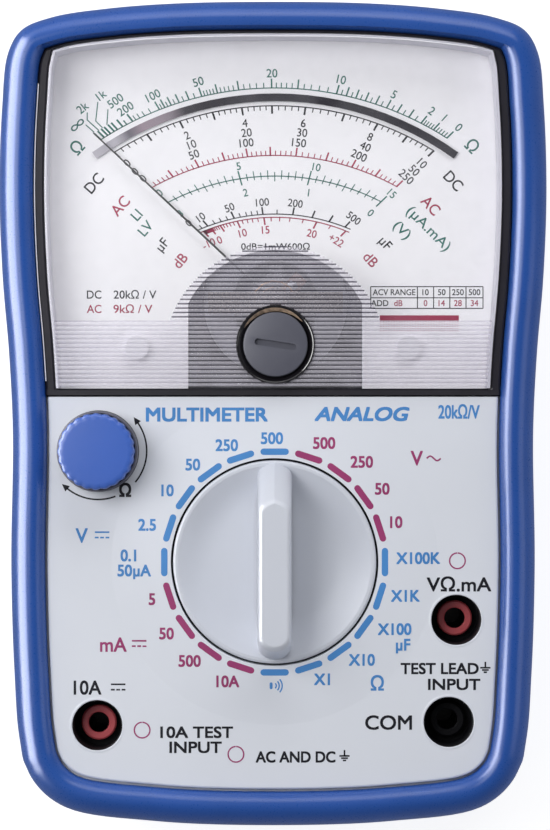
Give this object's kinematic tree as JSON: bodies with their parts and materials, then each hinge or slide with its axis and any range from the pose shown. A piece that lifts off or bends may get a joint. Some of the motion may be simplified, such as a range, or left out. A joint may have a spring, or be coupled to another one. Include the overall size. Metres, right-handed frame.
{
  "type": "analog multimeter",
  "caption": "Handheld analog multimeter in a rubber holster: needle dial, rotary range switch, zero-ohm knob and test-lead sockets.",
  "frame": {"origin": "centre of the bounding box's bottom, on the back of the holster, which the meter lies on", "axes": "+Z out of the front face, +Y towards the dial end, +X to the right seen from the front"},
  "size_m": [0.1028, 0.1546, 0.0455],
  "materials": {
    "holster": "satin moulded blue rubber",
    "panel": "satin pale grey moulded plastic",
    "black_plastic": "fine-textured black plastic",
    "grey_plastic": "dark grey moulded plastic",
    "blue_plastic": "glossy blue moulded plastic",
    "red_plastic": "red moulded plastic",
    "window": "clear moulded acrylic",
    "dial": "white painted aluminium",
    "mirror": "polished strip",
    "needle_paint": "black painted aluminium",
    "copper": "enamelled copper wire",
    "bronze": "phosphor bronze",
    "brass": "machined brass",
    "steel": "plated steel",
    "nickel": "nickel plate",
    "magnet": "cast magnet alloy",
    "board": "green solder-masked board",
    "fuse": "glass tube with metal caps",
    "battery": "printed steel jacket",
    "ink_black": "printed black ink",
    "ink_red": "printed red ink",
    "ink_green": "printed green ink",
    "ink_blue": "printed blue ink"
  },
  "bodies": {
    "root": {"rubber_holster": "holster", "front_case": "panel", "rear_case": "panel", "battery_door": "panel", "battery_door_screw": "steel", "case_screw_1": "steel", "case_screw_2": "steel", "case_screw_3": "steel", "case_screw_4": "steel", "meter_housing": "black_plastic", "meter_window": "window", "dial_plate": "dial", "mirror_strip": "mirror", "dial_screw_left": "nickel", "dial_screw_right": "nickel", "magnet_core": "magnet", "magnet_yoke": "steel", "front_bridge": "brass", "rear_bridge": "brass", "front_jewel_screw": "brass", "rear_jewel_screw": "brass", "circuit_board": "board", "board_screw_left": "steel", "board_screw_right": "steel", "ohm_pot": "black_plastic", "jack_sleeve_volt": "red_plastic", "jack_sleeve_common": "black_plastic", "jack_sleeve_10a": "red_plastic", "jack_contact_volt": "nickel", "jack_contact_common": "nickel", "jack_contact_10a": "nickel", "buzzer": "black_plastic", "fuse_low": "fuse", "fuse_high": "fuse", "fuse_holder_low": "nickel", "fuse_holder_high": "nickel", "battery_9v": "battery", "battery_snap": "black_plastic", "battery_aa_1": "battery", "battery_aa_2": "battery", "battery_link": "nickel", "battery_contact_positive": "nickel", "battery_contact_negative": "nickel"},
    "stand": {"tilt_stand": "grey_plastic"},
    "selector": {"selector_knob": "panel", "selector_rotor": "black_plastic", "detent_ball": "steel", "detent_spring": "steel", "wiper_contacts": "bronze", "selector_screw": "steel"},
    "ohm_knob": {"zero_ohm_knob": "blue_plastic"},
    "adjuster": {"zero_adjuster": "grey_plastic"},
    "lever": {"zero_lever": "brass"},
    "needle": {"pointer": "needle_paint", "moving_coil": "copper", "front_pivot": "steel", "rear_pivot": "steel", "balance_cross": "steel", "front_hairspring": "bronze", "rear_hairspring": "bronze"}
  },
  "joints": [
    {"name": "stand_fold", "type": "hinge", "parent": "root", "child": "stand", "pos_m": [0, 0.04, 0.00165], "axis": [1, 0, 0], "range_deg": [0, 70]},
    {"name": "selector_turn", "type": "hinge", "parent": "root", "child": "selector", "pos_m": [0.0003, -0.0276, 0.034], "axis": [0, 0, 1], "continuous": true},
    {"name": "zero_ohm_turn", "type": "hinge", "parent": "root", "child": "ohm_knob", "pos_m": [-0.0325, -0.007, 0.034], "axis": [0, 0, 1], "range_deg": [-140, 140]},
    {"name": "zero_adjust_turn", "type": "hinge", "parent": "root", "child": "adjuster", "pos_m": [0.00045, 0.0128, 0.035], "axis": [0, 0, 1], "range_deg": [-60, 60]},
    {"name": "zero_lever_swing", "type": "hinge", "parent": "root", "child": "lever", "pos_m": [0.00045, 0.0207, 0.03225], "axis": [0, 0, 1], "range_deg": [-8, 8]},
    {"name": "pointer_swing", "type": "hinge", "parent": "lever", "child": "needle", "pos_m": [0.00045, 0.0207, 0.0288], "axis": [0, 0, -1], "range_deg": [-3, 94], "stiffness_Nm_per_rad": 0.00005}
  ],
  "couplings": [
    {"joint": "zero_lever_swing", "follows": "zero_adjust_turn", "ratio": 0.112}
  ]
}
